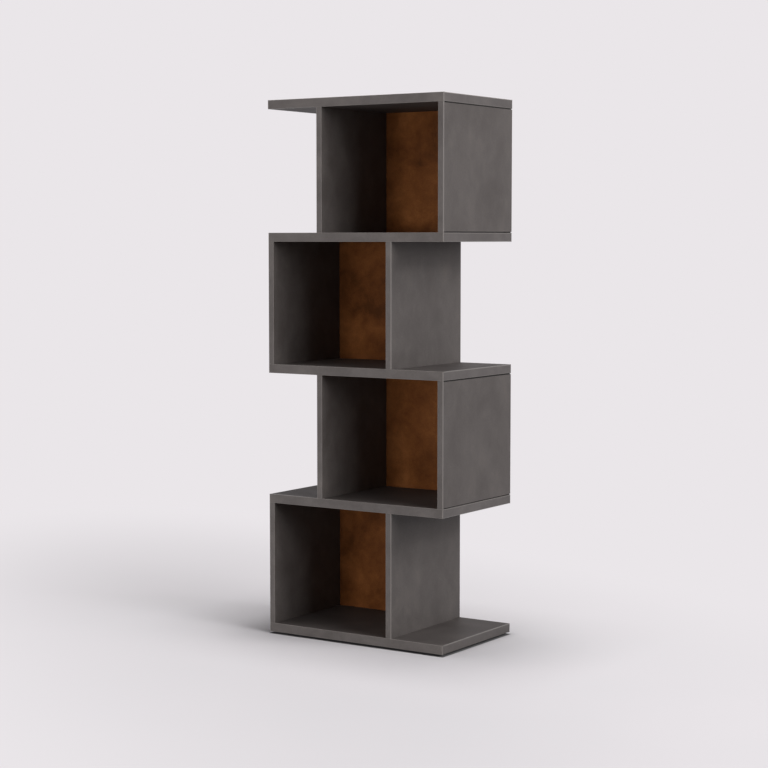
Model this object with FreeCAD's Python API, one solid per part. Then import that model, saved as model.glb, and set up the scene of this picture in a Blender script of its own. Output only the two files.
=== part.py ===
import FreeCAD, Part
import math
import os

V = FreeCAD.Vector

# A zigzag bookshelf of four open-front boxes, set to the left and to the right by turns between
# five full-width boards. Millimetres, +Z up, front towards -Y. The origin is on the floor, under
# the middle of the boards.

# Outer sizes of the unit.
unit_width = 580.0
unit_depth = 365.0
tier_clear_height = 345.0
ledge_width = 166.0

# Panels of faced chipboard, and the thinner faced back of each box.
board_thickness = 25.0
side_thickness = 18.0
back_thickness = 8.0
back_recess = 31.0

# Grooves in the sides and in the board above that hold the back, and the play of the back in them.
back_groove_depth = 6.0
head_groove_depth = 5.0
back_face_play = 0.2
back_edge_play = 0.5
back_head_play = 0.8

# Glued plastic edging, with the radii that its edges are trimmed to.
edging_thickness = 3.0
end_edging_radius = 2.6
corner_radius = 2.6
eased_radius = 1.0
largest_trim_share = 0.9

# Fluted beech dowels that join each side to the boards under it and over it.
dowel_diameter = 8.0
dowel_length = 35.0
dowel_depth_in_board = 12.0
dowel_count = 3
dowel_front_margin = 50.0
dowel_groove_margin = 16.0
dowel_play = 0.1
dowel_end_play = 0.6

# Shadow gap at the ends of a side that is flush with the boards, and the wood left round its dowels.
shadow_gap_height = 2.5
dowel_cover = 0.9

# Plastic glides under the bottom board, each with a moulded-in nail.
glide_diameter = 30.0
glide_height = 6.0
glide_chamfer = 1.5
glide_margin = 40.0
nail_diameter = 2.5
nail_depth_in_glide = 4.0
nail_depth_in_board = 14.0
nail_play = 0.05

# Flats drawn round a dowel or a nail.
flutes = 10

BOARD_NAMES = ("bottom_board", "lower_shelf", "middle_shelf", "upper_shelf", "top_board")
TIERS = range(1, len(BOARD_NAMES))

left, right = -unit_width / 2, unit_width / 2
front, rear = -unit_depth / 2, unit_depth / 2
tier_pitch = board_thickness + tier_clear_height
box_width = unit_width - ledge_width

back_rear_face = rear - back_recess
back_front_face = back_rear_face - back_thickness
groove_front = back_front_face - back_face_play
groove_rear = back_rear_face + back_face_play
shadow_gap_depth = (side_thickness - dowel_diameter) / 2 - dowel_play - dowel_cover

core_front, core_rear = front + edging_thickness, rear - edging_thickness
core_left, core_right = left + edging_thickness, right - edging_thickness

# How far the middle of a quarter arc stands from its corner, as a share of the radius, on each leg.
ARC_MIDDLE = 1 - math.sqrt(0.5)


def board_base(level):
    """Height of the underside of a board, where level 0 is the bottom board."""
    return glide_height + level * tier_pitch


def tier_heights(tier):
    """Heights of the lower and upper end of a tier's sides."""
    return board_base(tier - 1) + board_thickness, board_base(tier)


def box_ends(tier):
    """Outer left and right of a tier's box: odd tiers stand left, even tiers stand right."""
    start = left if tier % 2 else left + ledge_width
    return start, start + box_width


def side_spans(tier):
    """Outer face, inner face and name of the two sides of a tier's box."""
    start, stop = box_ends(tier)
    return (
        (start, start + side_thickness, "left"),
        (stop, stop - side_thickness, "right"),
    )


def is_flush(tier, hand):
    """Whether a side stands flush with the ends of the boards, and not in from a ledge."""
    return hand == ("left" if tier % 2 else "right")


def prism(axis, start, stop, corners):
    """A bar of constant section along an axis.

    corners are (u, v, radius) in order round the section, each a right angle, with u and v the
    other two axes in X, Y, Z order and radius 0 for a sharp corner.
    """

    def place(u, v):
        return {"X": V(start, u, v), "Y": V(u, start, v), "Z": V(u, v, start)}[axis]

    points = [place(u, v) for u, v, _ in corners]
    radii = [radius for _, _, radius in corners]
    ends, arcs = [], []
    for here, point in enumerate(points):
        towards_last = (points[here - 1] - point).normalize()
        towards_next = (points[(here + 1) % len(points)] - point).normalize()
        radius = radii[here]
        entry = point + towards_last * radius
        leave = point + towards_next * radius
        ends.append((entry, leave))
        if radius:
            middle = point + (towards_last + towards_next) * radius * ARC_MIDDLE
            arcs.append(Part.Arc(entry, middle, leave).toShape())
    lines = [
        Part.LineSegment(ends[here - 1][1], ends[here][0]).toShape()
        for here in range(len(points))
    ]
    wire = Part.Wire(Part.__sortEdges__(lines + arcs))
    along = {"X": V(1, 0, 0), "Y": V(0, 1, 0), "Z": V(0, 0, 1)}[axis]
    return Part.Face(wire).extrude(along * (stop - start))


def fluted_rod(diameter, x, y, low, high):
    """A vertical rod with flat flutes between two heights."""
    turns = [2 * math.pi * flute / flutes for flute in range(flutes + 1)]
    rim = [V(x + diameter / 2 * math.cos(a), y + diameter / 2 * math.sin(a), low) for a in turns]
    return Part.Face(Part.makePolygon(rim)).extrude(V(0, 0, high - low))


def trimmed(radius):
    """A trimmed edge's radius, which stays within the edging's thickness."""
    return min(radius, largest_trim_share * edging_thickness)


def dowel_rows():
    """Distances of the dowels along a side's end, from the front to the back's groove."""
    first = front + dowel_front_margin
    last = groove_front - dowel_groove_margin
    step = (last - first) / (dowel_count - 1)
    return [first + row * step for row in range(dowel_count)]


def dowel_places(tier):
    """Joints of a tier: x and y of each dowel, height of the joint, and +1 where a side stands above."""
    foot, head = tier_heights(tier)
    for outer, inner, _ in side_spans(tier):
        for y in dowel_rows():
            yield (outer + inner) / 2, y, foot, 1
            yield (outer + inner) / 2, y, head, -1


def dowel(place, play=0.0, end_play=0.0):
    """A dowel across a joint, or the hole for it when its play is given."""
    x, y, joint, upward = place
    in_board = joint - upward * (dowel_depth_in_board + end_play)
    in_side = joint + upward * (dowel_length - dowel_depth_in_board + end_play)
    low, high = sorted((in_board, in_side))
    return fluted_rod(dowel_diameter + 2 * play, x, y, low, high)


def dowel_holes(tier):
    """The holes for all the dowels of a tier."""
    return [dowel(place, dowel_play, dowel_end_play) for place in dowel_places(tier)]


def glide_centres():
    """Places of the four glides, named by their corner of the bottom board."""
    return {
        "front_left": (left + glide_margin, front + glide_margin),
        "front_right": (right - glide_margin, front + glide_margin),
        "rear_left": (left + glide_margin, rear - glide_margin),
        "rear_right": (right - glide_margin, rear - glide_margin),
    }


def board(level):
    """The core of a board, drilled for the sides on it and under it, and grooved for the back under it."""
    base = board_base(level)
    top = base + board_thickness
    core = prism("Z", base, top, [
        (core_left, core_front, 0),
        (core_right, core_front, 0),
        (core_right, core_rear, 0),
        (core_left, core_rear, 0),
    ])
    holes = [hole for tier in (level, level + 1) if tier in TIERS for hole in dowel_holes(tier)]
    if level == 0:
        holes += [nail(x, y, nail_play) for x, y in glide_centres().values()]
    else:
        holes.append(head_groove(level))
    return core.cut(holes)


def head_groove(tier):
    """The groove under the board above a box, in line with the grooves of its sides."""
    _, head = tier_heights(tier)
    start, stop = box_ends(tier)
    reach = side_thickness - back_groove_depth
    return prism("Z", head, head + head_groove_depth, [
        (start + reach, groove_front, 0),
        (stop - reach, groove_front, 0),
        (stop - reach, groove_rear, 0),
        (start + reach, groove_rear, 0),
    ])


def long_edging(level):
    """Front and rear strips of a board, which run over the ends of the end strips."""
    base = board_base(level)
    top = base + board_thickness
    strips = []
    for outer, inner in ((front, core_front), (rear, core_rear)):
        section = prism("X", left, right, [
            (outer, base, trimmed(eased_radius)),
            (inner, base, 0),
            (inner, top, 0),
            (outer, top, trimmed(eased_radius)),
        ])
        plan = prism("Z", base, top, [
            (left, outer, trimmed(corner_radius)),
            (right, outer, trimmed(corner_radius)),
            (right, inner, 0),
            (left, inner, 0),
        ])
        strips.append(section.common(plan).Solids[0])
    return Part.makeCompound(strips)


def end_edging(level):
    """Left and right strips of a board. Their round edges leave a groove where a side is flush."""
    base = board_base(level)
    top = base + board_thickness
    return Part.makeCompound([
        prism("Y", core_front, core_rear, [
            (outer, base, trimmed(end_edging_radius)),
            (inner, base, 0),
            (inner, top, 0),
            (outer, top, trimmed(end_edging_radius)),
        ])
        for outer, inner in ((left, core_left), (right, core_right))
    ])


def shadow_gaps(tier, outer, inner):
    """The slots at both ends of a flush side, from behind its front strip out to the rear."""
    foot, head = tier_heights(tier)
    inward = 1 if inner > outer else -1
    slot_floor = outer + inward * shadow_gap_depth
    return [
        prism("Y", core_front, rear, [
            (outer, low, 0),
            (slot_floor, low, 0),
            (slot_floor, low + shadow_gap_height, 0),
            (outer, low + shadow_gap_height, 0),
        ])
        for low in (foot, head - shadow_gap_height)
    ]


def side(tier, outer, inner, hand):
    """The core of a side, with the back's groove down its inner face and dowel holes in its ends."""
    foot, head = tier_heights(tier)
    inward = 1 if inner > outer else -1
    groove_floor = inner - inward * back_groove_depth
    core = prism("Z", foot, head, [
        (outer, core_front, 0),
        (inner, core_front, 0),
        (inner, groove_front, 0),
        (groove_floor, groove_front, 0),
        (groove_floor, groove_rear, 0),
        (inner, groove_rear, 0),
        (inner, core_rear, 0),
        (outer, core_rear, 0),
    ])
    gaps = shadow_gaps(tier, outer, inner) if is_flush(tier, hand) else []
    return core.cut(dowel_holes(tier) + gaps)


def side_edging(tier, outer, inner, hand):
    """Front and rear strips of a side, rounder on the outer face. The shadow gaps run out at the rear."""
    foot, head = tier_heights(tier)
    front_strip, rear_strip = [
        prism("Z", foot, head, [
            (outer, edge, trimmed(corner_radius)),
            (inner, edge, trimmed(eased_radius)),
            (inner, core_edge, 0),
            (outer, core_edge, 0),
        ])
        for edge, core_edge in ((front, core_front), (rear, core_rear))
    ]
    if is_flush(tier, hand):
        rear_strip = rear_strip.cut(shadow_gaps(tier, outer, inner)).Solids[0]
    return Part.makeCompound([front_strip, rear_strip])


def back(tier):
    """The back of a box. It stands on the board below, in grooves of the sides and the board above."""
    foot, head = tier_heights(tier)
    start, stop = box_ends(tier)
    reach = side_thickness - back_groove_depth + back_edge_play
    return prism("Z", foot, head + head_groove_depth - back_head_play, [
        (start + reach, back_front_face, 0),
        (stop - reach, back_front_face, 0),
        (stop - reach, back_rear_face, 0),
        (start + reach, back_rear_face, 0),
    ])


def nail(x, y, play=0.0):
    """The nail from inside a glide up into the bottom board, or the hole for it with its play."""
    low = glide_height - nail_depth_in_glide - play
    high = glide_height + nail_depth_in_board + play
    return fluted_rod(nail_diameter + 2 * play, x, y, low, high)


def glide(x, y):
    """A plastic foot with a chamfered rim, closed below and moulded round its nail."""
    foot = Part.makeCylinder(glide_diameter / 2, glide_height, V(x, y, 0))
    rim = [edge for edge in foot.Edges if edge.BoundBox.ZMax < glide_height / 2]
    return foot.makeChamfer(glide_chamfer, rim).cut(nail(x, y, nail_play))


nodes = {}
for level, name in enumerate(BOARD_NAMES):
    nodes[name] = board(level)
    nodes[f"{name}_long_edging"] = long_edging(level)
    nodes[f"{name}_end_edging"] = end_edging(level)
for tier in TIERS:
    for outer, inner, hand in side_spans(tier):
        nodes[f"tier_{tier}_{hand}_side"] = side(tier, outer, inner, hand)
        nodes[f"tier_{tier}_{hand}_side_edging"] = side_edging(tier, outer, inner, hand)
    nodes[f"tier_{tier}_back"] = back(tier)
    nodes[f"tier_{tier}_dowels"] = Part.makeCompound([dowel(place) for place in dowel_places(tier)])
for corner, (x, y) in glide_centres().items():
    nodes[f"{corner}_glide"] = glide(x, y)
nodes["glide_nails"] = Part.makeCompound([nail(x, y) for x, y in glide_centres().values()])

os.makedirs("parts", exist_ok=True)
for name, shape in nodes.items():
    shape.exportStep(f"parts/{name}.step")
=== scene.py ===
import math

import bpy
import numpy as np
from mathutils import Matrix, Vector


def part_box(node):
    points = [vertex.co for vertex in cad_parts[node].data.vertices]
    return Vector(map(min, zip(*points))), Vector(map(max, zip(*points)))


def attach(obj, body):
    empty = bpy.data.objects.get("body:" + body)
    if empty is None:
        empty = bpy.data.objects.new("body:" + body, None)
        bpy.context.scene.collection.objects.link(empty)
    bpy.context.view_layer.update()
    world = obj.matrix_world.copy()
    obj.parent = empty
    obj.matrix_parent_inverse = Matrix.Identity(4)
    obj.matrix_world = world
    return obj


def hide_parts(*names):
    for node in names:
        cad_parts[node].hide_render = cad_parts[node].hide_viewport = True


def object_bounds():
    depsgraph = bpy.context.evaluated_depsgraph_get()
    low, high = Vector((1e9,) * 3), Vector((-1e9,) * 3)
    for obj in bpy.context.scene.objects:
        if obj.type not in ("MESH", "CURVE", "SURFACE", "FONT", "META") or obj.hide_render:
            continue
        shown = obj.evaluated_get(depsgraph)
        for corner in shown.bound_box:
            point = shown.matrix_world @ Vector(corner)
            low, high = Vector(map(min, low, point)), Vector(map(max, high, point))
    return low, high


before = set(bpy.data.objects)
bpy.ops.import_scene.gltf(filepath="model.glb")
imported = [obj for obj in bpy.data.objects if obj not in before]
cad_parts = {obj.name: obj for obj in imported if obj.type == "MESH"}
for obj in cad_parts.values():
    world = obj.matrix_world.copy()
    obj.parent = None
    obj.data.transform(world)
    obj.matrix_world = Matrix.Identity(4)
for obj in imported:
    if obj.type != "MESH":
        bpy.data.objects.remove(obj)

cad_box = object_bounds()

# Feet. Four round glides of injection-moulded polyethylene, each with a steel nail moulded in.
# The nails are driven into the underside of the bottom board before anything else is joined to it,
# so the unit stands a few millimetres clear of the floor.

MM = 0.001
GLIDE_RIM_RADIUS = 1.8 * MM
GLIDE_SHOULDER_RADIUS = 0.6 * MM
GLIDE_DRAFT = 0.5 * MM
GLIDE_STEPS = 64
RIM_POINTS = 7
SHOULDER_POINTS = 5
CREASE_ANGLE = math.radians(40)


def linear(hex_colour):
    """Linear RGBA of an sRGB hex colour.

    Each part c becomes c / 12.92 in the darks and ((c + 0.055) / 1.055) ** 2.4 above.
    """
    parts = [int(hex_colour[at:at + 2], 16) / 255 for at in (1, 3, 5)]
    return [c / 12.92 if c <= 0.04045 else ((c + 0.055) / 1.055) ** 2.4 for c in parts] + [1.0]


def per_metre(size_mm):
    """Scale of a pattern whose marks are about that many millimetres apart."""
    return 1000.0 / size_mm


def add_node(tree, kind, inputs=(), stops=(), **settings):
    """Adds a node with its settings. Each input is a value, or another node's output to link to.

    stops are a colour ramp's (place, hex colour) pairs, in order.
    """
    node = tree.nodes.new(kind)
    for name, value in settings.items():
        setattr(node, name, value)
    for name, value in dict(inputs).items():
        if isinstance(value, bpy.types.NodeSocket):
            tree.links.new(value, node.inputs[name])
        else:
            node.inputs[name].default_value = value
    for at, (place, colour) in enumerate(stops):
        elements = node.color_ramp.elements
        element = elements[at] if at < len(elements) else elements.new(place)
        element.position, element.color = place, linear(colour)
    return node


def new_material(name):
    """An empty node material: its tree, its Object coordinates and its surface shader."""
    material = bpy.data.materials.new(name)
    material.use_nodes = True
    tree = material.node_tree
    tree.nodes.clear()
    place = add_node(tree, "ShaderNodeTexCoord").outputs["Object"]
    shader = add_node(tree, "ShaderNodeBsdfPrincipled")
    add_node(tree, "ShaderNodeOutputMaterial", {"Surface": shader.outputs["BSDF"]})
    return material, tree, place, shader


def finish_nodes(material, *names):
    """Gives CAD nodes one material in all their slots."""
    for name in names:
        for material_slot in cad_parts[name].material_slots:
            material_slot.material = material


def turned(name, profile, centre, steps):
    """A turned solid: each (r, z) of the profile goes round to centre + (r cos a, r sin a, z).

    The first and last rings are closed by flat caps.
    """
    radius, height = np.array(profile).T
    angle = np.linspace(0, 2 * np.pi, steps, endpoint=False)
    ring = np.stack([np.cos(angle), np.sin(angle), np.zeros(steps)], -1)
    upwards = np.array([0, 0, 1.0])
    points = radius[:, None, None] * ring + height[:, None, None] * upwards + np.array(centre)
    index = np.arange(len(profile) * steps).reshape(len(profile), steps)
    ahead = np.roll(index, -1, 1)
    walls = np.stack([index[:-1], ahead[:-1], ahead[1:], index[1:]], -1).reshape(-1, 4)
    caps = [index[0][::-1].tolist(), index[-1].tolist()]
    mesh = bpy.data.meshes.new(name)
    mesh.from_pydata(points.reshape(-1, 3), [], walls.tolist() + caps)
    mesh.shade_smooth()
    mesh.set_sharp_from_angle(angle=CREASE_ANGLE)
    piece = bpy.data.objects.new(name, mesh)
    bpy.context.scene.collection.objects.link(piece)
    return piece


# Black polyethylene, moulded against a spark-eroded tool: a dull waxy black with a fine even grain.
# The grain is drawn about three times as coarse as the real one so that it shows.
polyethylene, tree, place, shader = new_material("black_moulded_polyethylene")
moulded_grain = add_node(tree, "ShaderNodeTexNoise", {
    "Vector": place, "Scale": per_metre(0.9), "Detail": 2.0, "Roughness": 0.5,
})
scuffs = add_node(tree, "ShaderNodeTexNoise", {
    "Vector": place, "Scale": per_metre(7.0), "Detail": 4.0, "Roughness": 0.65,
})
black = add_node(tree, "ShaderNodeValToRGB", {"Fac": scuffs.outputs["Fac"]}, stops=(
    (0.30, "#161617"), (0.55, "#1c1c1d"), (0.75, "#29292a"),
))
dullness = add_node(tree, "ShaderNodeMapRange", {
    "Value": scuffs.outputs["Fac"],
    "From Min": 0.3, "From Max": 0.7, "To Min": 0.42, "To Max": 0.6,
})
grain_relief = add_node(tree, "ShaderNodeBump", {
    "Height": moulded_grain.outputs["Fac"], "Strength": 0.5, "Distance": 0.06 * MM,
})
tree.links.new(black.outputs["Color"], shader.inputs["Base Color"])
tree.links.new(dullness.outputs["Result"], shader.inputs["Roughness"])
tree.links.new(grain_relief.outputs["Normal"], shader.inputs["Normal"])
shader.inputs["IOR"].default_value = 1.51

# Zinc-plated steel wire, drawn and cut: bright grey with faint drawing lines along the nail.
zinc_steel, tree, place, shader = new_material("zinc_plated_steel_wire")
along_wire = add_node(tree, "ShaderNodeMapping", {"Vector": place, "Scale": (1.0, 1.0, 0.06)})
drawing_lines = add_node(tree, "ShaderNodeTexNoise", {
    "Vector": along_wire.outputs["Vector"], "Scale": per_metre(0.4), "Detail": 3.0,
})
zinc = add_node(tree, "ShaderNodeValToRGB", {"Fac": drawing_lines.outputs["Fac"]}, stops=(
    (0.30, "#a4a8ab"), (0.60, "#c0c4c6"), (0.75, "#cfd2d3"),
))
wire_gloss = add_node(tree, "ShaderNodeMapRange", {
    "Value": drawing_lines.outputs["Fac"],
    "From Min": 0.3, "From Max": 0.7, "To Min": 0.28, "To Max": 0.45,
})
tree.links.new(zinc.outputs["Color"], shader.inputs["Base Color"])
tree.links.new(wire_gloss.outputs["Result"], shader.inputs["Roughness"])
shader.inputs["Metallic"].default_value = 1.0

finish_nodes(zinc_steel, "glide_nails")

rim_turn = np.linspace(-np.pi / 2, 0, RIM_POINTS)
shoulder_turn = np.linspace(0, np.pi / 2, SHOULDER_POINTS)
for corner in ("front_left", "front_right", "rear_left", "rear_right"):
    low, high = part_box(f"{corner}_glide")
    glide_radius = (high.x - low.x) / 2
    glide_centre = ((low.x + high.x) / 2, (low.y + high.y) / 2, 0.0)
    rim = np.stack([
        glide_radius - GLIDE_RIM_RADIUS + GLIDE_RIM_RADIUS * np.cos(rim_turn),
        low.z + GLIDE_RIM_RADIUS + GLIDE_RIM_RADIUS * np.sin(rim_turn),
    ], -1)
    shoulder = np.stack([
        glide_radius - GLIDE_DRAFT - GLIDE_SHOULDER_RADIUS * (1 - np.cos(shoulder_turn)),
        high.z - GLIDE_SHOULDER_RADIUS * (1 - np.sin(shoulder_turn)),
    ], -1)
    foot = turned(f"{corner}_foot", [*rim, *shoulder], glide_centre, GLIDE_STEPS)
    foot.data.materials.append(polyethylene)
    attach(foot, "root")
    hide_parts(f"{corner}_glide")

# Boards. The bottom board, three shelves and the top board are chipboard of one size, faced on both
# sides with paper printed as cast concrete and set hard with melamine resin in a heated press.

BOARDS = ("bottom_board", "lower_shelf", "middle_shelf", "upper_shelf", "top_board")
BOARD_RUN = (0.75, 1.0, 1.0)

# A Mix node of colours is reached by the places of its sockets, because its other sockets have the
# same names.
MIX_FACTOR, COLOUR_A, COLOUR_B, MIXED_COLOUR = 0, 6, 7, 2


def concrete_decor(name, run, dullest, sharpest, shine, where_bare_and_painted_light=None, bare_and_painted_light_colour=None):
    """Melamine paper printed as trowelled concrete: soft clouds, blotches and specks in warm greys.

    run stretches clouds and blotches along the way the sheet was printed, the gloss lies between
    the two roughness values, and shine is the strength of the reflection. Where the print is cut
    away, the bare colour shows, and it also carries painted light: a painted highlight on the
    milled roundings and a painted shade in the seam gaps. The press plate leaves a fine even tooth,
    drawn about twice as coarse as it is.
    """
    material, tree, place, shader = new_material(name)
    printed = add_node(tree, "ShaderNodeMapping", {"Vector": place, "Scale": run})
    clouds = add_node(tree, "ShaderNodeTexNoise", {
        "Vector": printed.outputs["Vector"], "Scale": per_metre(150.0),
        "Detail": 3.0, "Roughness": 0.5, "Distortion": 0.4,
    })
    blotches = add_node(tree, "ShaderNodeTexNoise", {
        "Vector": printed.outputs["Vector"], "Scale": per_metre(38.0),
        "Detail": 5.0, "Roughness": 0.6, "Distortion": 0.25,
    })
    specks = add_node(tree, "ShaderNodeTexNoise", {
        "Vector": place, "Scale": per_metre(5.0), "Detail": 2.0, "Roughness": 0.6,
    })
    cloud_and_blotch = add_node(tree, "ShaderNodeMix", {
        "Factor": 0.48, "A": clouds.outputs["Fac"], "B": blotches.outputs["Fac"],
    })
    tone = add_node(tree, "ShaderNodeMix", {
        "Factor": 0.16, "A": cloud_and_blotch.outputs["Result"], "B": specks.outputs["Fac"],
    })
    grey = add_node(tree, "ShaderNodeValToRGB", {"Fac": tone.outputs["Result"]}, stops=(
        (0.34, "#484341"), (0.46, "#504b49"), (0.54, "#56514f"), (0.68, "#615b58"),
    ))
    colour = grey.outputs["Color"]
    if where_bare_and_painted_light:
        colour = add_node(tree, "ShaderNodeMix", {
            MIX_FACTOR: where_bare_and_painted_light(tree, place), COLOUR_A: colour, COLOUR_B: linear(bare_and_painted_light_colour),
        }, data_type="RGBA").outputs[MIXED_COLOUR]
    gloss = add_node(tree, "ShaderNodeMapRange", {
        "Value": blotches.outputs["Fac"],
        "From Min": 0.3, "From Max": 0.7, "To Min": sharpest, "To Max": dullest,
    })
    tooth = add_node(tree, "ShaderNodeTexNoise", {
        "Vector": place, "Scale": per_metre(1.6), "Detail": 3.0, "Roughness": 0.6,
    })
    tooth_relief = add_node(tree, "ShaderNodeBump", {
        "Height": tooth.outputs["Fac"], "Strength": 0.35, "Distance": 0.1 * MM,
    })
    tree.links.new(colour, shader.inputs["Base Color"])
    tree.links.new(gloss.outputs["Result"], shader.inputs["Roughness"])
    tree.links.new(tooth_relief.outputs["Normal"], shader.inputs["Normal"])
    shader.inputs["IOR"].default_value = 1.55
    shader.inputs["Specular IOR Level"].default_value = shine
    return material


board_facing = concrete_decor(
    "melamine_concrete_board_facing", run=BOARD_RUN, dullest=0.64, sharpest=0.54, shine=0.1)
finish_nodes(board_facing, *BOARDS)

# Edging of the boards. Strips of extruded ABS, printed to match the facing, are glued on hot and
# trimmed with a rounding cutter, which bares the plain plastic, drawn lighter as a painted
# highlight.

FLAT_ENOUGH = 0.995
# The roundings show the bare plastic body, drawn lighter than the print: partly its own tone,
# partly a painted highlight.
PLASTIC_BODY_AND_HIGHLIGHT = "#6e6966"


# The mask of the roundings, where the lighter painted highlight goes.
def on_milled_edge(tree, _place):
    """1 on faces that lean away from all three axes, which are the milled roundings, elsewhere 0.

    The largest of the normal's three parts is 1 on a flat face and falls to 0.71 half-way round a
    rounding. The place on the piece makes no difference.
    """
    surface = add_node(tree, "ShaderNodeNewGeometry")
    lean = add_node(tree, "ShaderNodeVectorMath", {
        0: surface.outputs["True Normal"],
    }, operation="ABSOLUTE")
    parts = add_node(tree, "ShaderNodeSeparateXYZ", {"Vector": lean.outputs["Vector"]})
    wider = add_node(tree, "ShaderNodeMath", {
        0: parts.outputs["X"], 1: parts.outputs["Y"],
    }, operation="MAXIMUM")
    largest = add_node(tree, "ShaderNodeMath", {
        0: wider.outputs["Value"], 1: parts.outputs["Z"],
    }, operation="MAXIMUM")
    return add_node(tree, "ShaderNodeMath", {
        0: largest.outputs["Value"], 1: FLAT_ENOUGH,
    }, operation="LESS_THAN").outputs["Value"]


board_edging = concrete_decor(
    "abs_concrete_board_edging", run=BOARD_RUN, dullest=0.38, sharpest=0.3, shine=0.32,
    where_bare_and_painted_light=on_milled_edge, bare_and_painted_light_colour=PLASTIC_BODY_AND_HIGHLIGHT)
for board in BOARDS:
    finish_nodes(board_edging, f"{board}_long_edging", f"{board}_end_edging")

# Dowels. Fluted beech pins, turned from the rod and glued into holes bored in the boards and in the
# ends of the sides. Three at each end of a side hold it, and none of them shows.

TIERS = (1, 2, 3, 4)

# Beech, turned: pale pinkish brown with long fibres and short darker flecks along the pin.
beech, tree, place, shader = new_material("turned_beech")
along_grain = add_node(tree, "ShaderNodeMapping", {"Vector": place, "Scale": (1.0, 1.0, 0.08)})
fibres = add_node(tree, "ShaderNodeTexNoise", {
    "Vector": along_grain.outputs["Vector"], "Scale": per_metre(0.8),
    "Detail": 4.0, "Roughness": 0.6,
})
wood = add_node(tree, "ShaderNodeValToRGB", {"Fac": fibres.outputs["Fac"]}, stops=(
    (0.32, "#a67c4f"), (0.48, "#c49a69"), (0.66, "#d6b183"),
))
fibre_relief = add_node(tree, "ShaderNodeBump", {
    "Height": fibres.outputs["Fac"], "Strength": 0.4, "Distance": 0.08 * MM,
})
tree.links.new(wood.outputs["Color"], shader.inputs["Base Color"])
tree.links.new(fibre_relief.outputs["Normal"], shader.inputs["Normal"])
shader.inputs["Roughness"].default_value = 0.62
finish_nodes(beech, *[f"tier_{tier}_dowels" for tier in TIERS])

# Sides. Two upright panels to each box, cut from thinner board with the same facing, its print
# running upwards. Each is grooved near its rear edge for the back, and its front and rear edges
# are lipped.

SIDE_RUN = (1.0, 1.0, 0.75)
# In the gaps where a flush side meets the boards, the sawn faces are painted near-black: the sealed
# core together with a painted shade, so each seam reads as a dark shadow line.
SEAM_GAP = 2.7 * MM
SEAM_DEPTH = 4.3 * MM
SEALED_CORE_AND_SHADE = "#1d1a19"


def in_seam_gap(tree, place):
    """1 on the sawn faces inside the gaps between a flush side and the boards, elsewhere 0.

    The height is folded about the boards' mid-planes, one pitch apart, so that it gives the
    distance to the nearest board. A face is in a gap where it is that near to a board and that
    near to the end of one. There the colour is the dark sealed core together with a painted shade.
    """
    low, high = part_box("bottom_board")
    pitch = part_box("lower_shelf")[0].z - low.z
    axes = add_node(tree, "ShaderNodeSeparateXYZ", {"Vector": place})
    height = add_node(tree, "ShaderNodeMath", {
        0: axes.outputs["Z"], 1: (low.z + high.z) / 2,
    }, operation="SUBTRACT")
    from_board = add_node(tree, "ShaderNodeMath", {
        0: height.outputs["Value"], 1: pitch / 2,
    }, operation="PINGPONG")
    beside_board = add_node(tree, "ShaderNodeMath", {
        0: from_board.outputs["Value"], 1: (high.z - low.z) / 2 + SEAM_GAP,
    }, operation="LESS_THAN")
    from_middle = add_node(tree, "ShaderNodeMath", {0: axes.outputs["X"]}, operation="ABSOLUTE")
    near_end = add_node(tree, "ShaderNodeMath", {
        0: from_middle.outputs["Value"], 1: high.x - SEAM_DEPTH,
    }, operation="GREATER_THAN")
    return add_node(tree, "ShaderNodeMath", {
        0: beside_board.outputs["Value"], 1: near_end.outputs["Value"],
    }, operation="MULTIPLY").outputs["Value"]


side_facing = concrete_decor(
    "melamine_concrete_side_facing", run=SIDE_RUN, dullest=0.64, sharpest=0.54, shine=0.27,
    where_bare_and_painted_light=in_seam_gap, bare_and_painted_light_colour=SEALED_CORE_AND_SHADE)
side_edging = concrete_decor(
    "abs_concrete_side_edging", run=SIDE_RUN, dullest=0.38, sharpest=0.3, shine=0.32,
    where_bare_and_painted_light=on_milled_edge, bare_and_painted_light_colour=PLASTIC_BODY_AND_HIGHLIGHT)
for tier in TIERS:
    for hand in ("left", "right"):
        finish_nodes(side_facing, f"tier_{tier}_{hand}_side")
        finish_nodes(side_edging, f"tier_{tier}_{hand}_side_edging")

# Backs. One thin fibreboard to each box, faced with a rust-brown printed foil. It slides down the
# grooves of the two sides before the board above closes the box.

# Rust-look foil on fibreboard, calendered: a warm brown with darker burnt patches and orange bloom,
# satin, with a faint pressed texture.
rust_foil, tree, place, shader = new_material("rust_foil_on_fibreboard")
patches = add_node(tree, "ShaderNodeTexNoise", {
    "Vector": place, "Scale": per_metre(130.0),
    "Detail": 4.0, "Roughness": 0.5, "Distortion": 0.5,
})
bloom = add_node(tree, "ShaderNodeTexNoise", {
    "Vector": place, "Scale": per_metre(24.0),
    "Detail": 6.0, "Roughness": 0.65, "Distortion": 0.3,
})
rust_specks = add_node(tree, "ShaderNodeTexNoise", {
    "Vector": place, "Scale": per_metre(4.0), "Detail": 2.0, "Roughness": 0.6,
})
patch_and_bloom = add_node(tree, "ShaderNodeMix", {
    "Factor": 0.28, "A": patches.outputs["Fac"], "B": bloom.outputs["Fac"],
})
rust_tone = add_node(tree, "ShaderNodeMix", {
    "Factor": 0.14, "A": patch_and_bloom.outputs["Result"], "B": rust_specks.outputs["Fac"],
})
rust = add_node(tree, "ShaderNodeValToRGB", {"Fac": rust_tone.outputs["Result"]}, stops=(
    (0.37, "#4e2c14"), (0.47, "#673c1e"), (0.55, "#764725"), (0.66, "#8b5831"),
))
rust_gloss = add_node(tree, "ShaderNodeMapRange", {
    "Value": bloom.outputs["Fac"],
    "From Min": 0.3, "From Max": 0.7, "To Min": 0.42, "To Max": 0.58,
})
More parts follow.
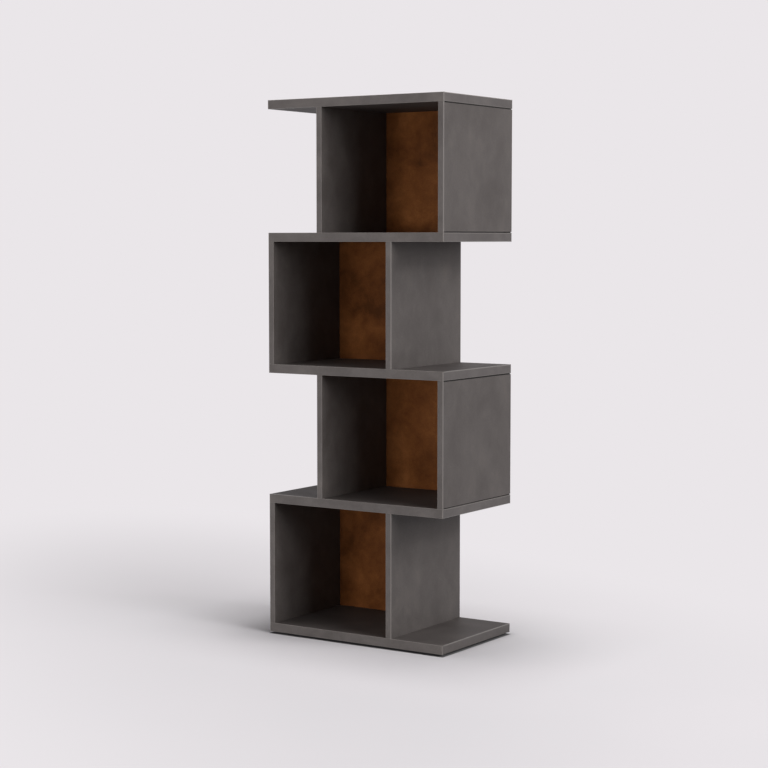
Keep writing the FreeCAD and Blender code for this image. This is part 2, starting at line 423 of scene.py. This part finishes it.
pressed = add_node(tree, "ShaderNodeBump", {
    "Height": rust_tone.outputs["Result"], "Strength": 0.3, "Distance": 0.15 * MM,
})
tree.links.new(rust.outputs["Color"], shader.inputs["Base Color"])
tree.links.new(rust_gloss.outputs["Result"], shader.inputs["Roughness"])
tree.links.new(pressed.outputs["Normal"], shader.inputs["Normal"])
shader.inputs["Specular IOR Level"].default_value = 0.2
finish_nodes(rust_foil, *[f"tier_{tier}_back" for tier in TIERS])

# Studio floor. A wide pale sweep of seamless paper that keeps the soft shadow near the unit, and
# further off goes over into the plain tone of the background. Close to the unit the shadow reaches
# further on the left, away from the main light. Right under the unit the paper has a painted
# shadow.

BACKGROUND = "#eae6e9"
FLOOR_BOUNCE = "#868485"
FLOOR_REACH = 30.0
SHADOW_REACH = 1.34
SHADOW_MIDDLE = (0.511, -0.456, 0.0)
SHADOW_SPREAD = (1.0, 2.686, 1.0)
SHADOW_TURN = math.radians(59.7)
CONTACT_REACH_LEFT = 0.2
CONTACT_REACH_RIGHT = 0.03
UNDER_UNIT_PAINTED_SHADOW = "#6e6c6d"
UNDER_UNIT_BLEND = 4.0 * MM


def looked_at(tree):
    """1 for a ray from the camera, off a shiny surface or through glass, 0 for one that lights."""
    paths = add_node(tree, "ShaderNodeLightPath")
    seen_or_mirrored = add_node(tree, "ShaderNodeMath", {
        0: paths.outputs["Is Camera Ray"], 1: paths.outputs["Is Glossy Ray"],
    }, operation="ADD")
    return add_node(tree, "ShaderNodeMath", {
        0: seen_or_mirrored.outputs["Value"], 1: paths.outputs["Is Transmission Ray"],
    }, operation="ADD", use_clamp=True).outputs["Value"]


# Seamless paper, matt and almost even, with a very wide faint mottle.
paper, tree, place, shader = new_material("seamless_studio_paper")
paper_mottle = add_node(tree, "ShaderNodeTexNoise", {
    "Vector": place, "Scale": per_metre(900.0), "Detail": 2.0,
})
paper_tone = add_node(tree, "ShaderNodeValToRGB", {"Fac": paper_mottle.outputs["Fac"]}, stops=(
    (0.35, "#d4d1d4"), (0.65, "#d7d3d6"),
))
shader.inputs["Roughness"].default_value = 0.95
shader.inputs["Specular IOR Level"].default_value = 0.0

# The plain tone takes over with the distance from the middle of the shadow, which is a long oval.
around_shadow = add_node(tree, "ShaderNodeMapping", {
    "Vector": place, "Location": SHADOW_MIDDLE, "Rotation": (0.0, 0.0, SHADOW_TURN),
    "Scale": SHADOW_SPREAD,
}, vector_type="TEXTURE")
from_shadow = add_node(tree, "ShaderNodeVectorMath", {
    0: around_shadow.outputs["Vector"],
}, operation="LENGTH")
far_off = add_node(tree, "ShaderNodeMapRange", {
    "Value": from_shadow.outputs["Value"], "From Max": SHADOW_REACH,
}, interpolation_type="SMOOTHSTEP")

# It keeps clear of the floor close to the unit, by the distance outside the unit's own oblong.
from_axes = add_node(tree, "ShaderNodeVectorMath", {0: place}, operation="ABSOLUTE")
past_edges = add_node(tree, "ShaderNodeVectorMath", {
    0: from_axes.outputs["Vector"], 1: cad_box[1],
}, operation="SUBTRACT")
outside = add_node(tree, "ShaderNodeVectorMath", {
    0: past_edges.outputs["Vector"],
}, operation="MAXIMUM")
from_unit = add_node(tree, "ShaderNodeVectorMath", {
    0: outside.outputs["Vector"],
}, operation="LENGTH")
floor_axes = add_node(tree, "ShaderNodeSeparateXYZ", {"Vector": place})
contact_reach = add_node(tree, "ShaderNodeMapRange", {
    "Value": floor_axes.outputs["X"], "From Min": cad_box[0].x, "From Max": cad_box[1].x,
    "To Min": CONTACT_REACH_LEFT, "To Max": CONTACT_REACH_RIGHT,
})
clear_of_unit = add_node(tree, "ShaderNodeMapRange", {
    "Value": from_unit.outputs["Value"], "From Max": contact_reach.outputs["Result"],
}, interpolation_type="SMOOTHSTEP")
plain_share = add_node(tree, "ShaderNodeMath", {
    0: far_off.outputs["Result"], 1: clear_of_unit.outputs["Result"],
}, operation="MULTIPLY")

in_sight = looked_at(tree)
paper_seen = add_node(tree, "ShaderNodeMix", {
    MIX_FACTOR: in_sight, COLOUR_A: linear(FLOOR_BOUNCE), COLOUR_B: paper_tone.outputs["Color"],
}, data_type="RGBA")
# Under the unit's oblong the paper is painted dark: a painted shadow in the slit below the bottom
# board.
past_rim = add_node(tree, "ShaderNodeMapRange", {
    "Value": from_unit.outputs["Value"], "From Max": UNDER_UNIT_BLEND,
})
paper_and_painted_shadow = add_node(tree, "ShaderNodeMix", {
    MIX_FACTOR: past_rim.outputs["Result"],
    COLOUR_A: linear(UNDER_UNIT_PAINTED_SHADOW), COLOUR_B: paper_seen.outputs[MIXED_COLOUR],
}, data_type="RGBA")
tree.links.new(paper_and_painted_shadow.outputs[MIXED_COLOUR], shader.inputs["Base Color"])
fade = add_node(tree, "ShaderNodeMath", {
    0: plain_share.outputs["Value"], 1: in_sight,
}, operation="MULTIPLY")
plain_tone = add_node(tree, "ShaderNodeEmission", {"Color": linear(BACKGROUND), "Strength": 1.0})
sweep = add_node(tree, "ShaderNodeMixShader", {
    0: fade.outputs["Value"], 1: shader.outputs["BSDF"], 2: plain_tone.outputs["Emission"],
})
tree.links.new(sweep.outputs["Shader"], tree.nodes["Material Output"].inputs["Surface"])

floor_mesh = bpy.data.meshes.new("studio_floor")
floor_corners = np.array([(-1, -1, 0), (1, -1, 0), (1, 1, 0), (-1, 1, 0)]) * FLOOR_REACH
floor_mesh.from_pydata(floor_corners, [], [(0, 1, 2, 3)])
floor_mesh.materials.append(paper)
floor = bpy.data.objects.new("studio_floor", floor_mesh)
bpy.context.scene.collection.objects.link(floor)

# Studio light. Two soft boxes on the right are the main light. Far off at the front, two wide ones
# shine level into the shelves and a tall one a little downwards. One behind keeps the rear from
# going black, a small one overhead lights the floor, and the room adds a little.

ROOM_LIGHT = 0.04

world = bpy.data.worlds.new("pale_studio")
bpy.context.scene.world = world
world.use_nodes = True
tree = world.node_tree
tree.nodes.clear()
room = add_node(tree, "ShaderNodeBackground", {
    "Color": linear(BACKGROUND), "Strength": ROOM_LIGHT,
})
backdrop = add_node(tree, "ShaderNodeBackground", {"Color": linear(BACKGROUND), "Strength": 1.0})
surround = add_node(tree, "ShaderNodeMixShader", {
    0: looked_at(tree), 1: room.outputs["Background"], 2: backdrop.outputs["Background"],
})
add_node(tree, "ShaderNodeOutputWorld", {"Surface": surround.outputs["Shader"]})

unit_middle = (cad_box[0] + cad_box[1]) / 2


def soft_box(name, azimuth, elevation, distance, width, height, level, mirrored=True):
    """An oblong soft box aimed at the middle of the unit.

    level is the share of a surface's own colour that it gives back when it squarely faces the
    light: a lamp of P watts at r metres gives P / (pi r)^2, so P = level (pi r)^2. A box that is
    not mirrored leaves no glare.
    """
    turn, rise = math.radians(azimuth), math.radians(elevation)
    level_reach = math.cos(rise)
    towards = Vector((
        math.sin(turn) * level_reach, -math.cos(turn) * level_reach, math.sin(rise)))
    lamp = bpy.data.lights.new(name, "AREA")
    lamp.shape = "RECTANGLE"
    lamp.size, lamp.size_y = width, height
    lamp.energy = level * (math.pi * distance) ** 2
    light = bpy.data.objects.new(name, lamp)
    light.location = unit_middle + towards * distance
    light.rotation_euler = (-towards).to_track_quat("-Z", "Y").to_euler()
    light.visible_glossy = mirrored
    bpy.context.scene.collection.objects.link(light)


soft_box("main_soft_box", azimuth=75.0, elevation=17.0, distance=6.0,
         width=2.5, height=2.5, level=0.44)
soft_box("high_soft_box", azimuth=90.0, elevation=35.0, distance=6.0,
         width=2.5, height=2.5, level=0.46)
soft_box("front_soft_box", azimuth=-4.0, elevation=0.0, distance=12.0,
         width=4.5, height=1.4, level=0.22, mirrored=False)
soft_box("tall_soft_box", azimuth=-4.0, elevation=10.0, distance=12.0,
         width=4.5, height=4.2, level=0.13, mirrored=False)
soft_box("left_soft_box", azimuth=-38.0, elevation=0.0, distance=12.0,
         width=4.5, height=1.4, level=0.59, mirrored=False)
soft_box("rear_soft_box", azimuth=-145.0, elevation=0.0, distance=12.0,
         width=4.5, height=1.4, level=0.4, mirrored=False)
soft_box("top_soft_box", azimuth=0.0, elevation=90.0, distance=3.2,
         width=0.8, height=0.8, level=0.82)

# Camera. It stands to the right of the front, a little above the middle of the unit and far enough
# off for the sides to stay nearly upright in the picture.

VIEW_AZIMUTH = 33.471
VIEW_DROP = 4.369
VIEW_DISTANCE = 5.4027
VIEW_LENS = 89.56
AIM = Vector((-0.0137, -0.0091, 0.7147))

turn, drop = math.radians(VIEW_AZIMUTH), math.radians(VIEW_DROP)
sight = Vector((
    -math.sin(turn) * math.cos(drop), math.cos(turn) * math.cos(drop), -math.sin(drop)))
view = bpy.data.cameras.new("view")
view.lens = VIEW_LENS
camera = bpy.data.objects.new("view", view)
camera.location = AIM - sight * VIEW_DISTANCE
camera.rotation_euler = sight.to_track_quat("-Z", "Y").to_euler()
bpy.context.scene.collection.objects.link(camera)
bpy.context.scene.camera = camera

bpy.context.scene.view_settings.view_transform = "Standard"
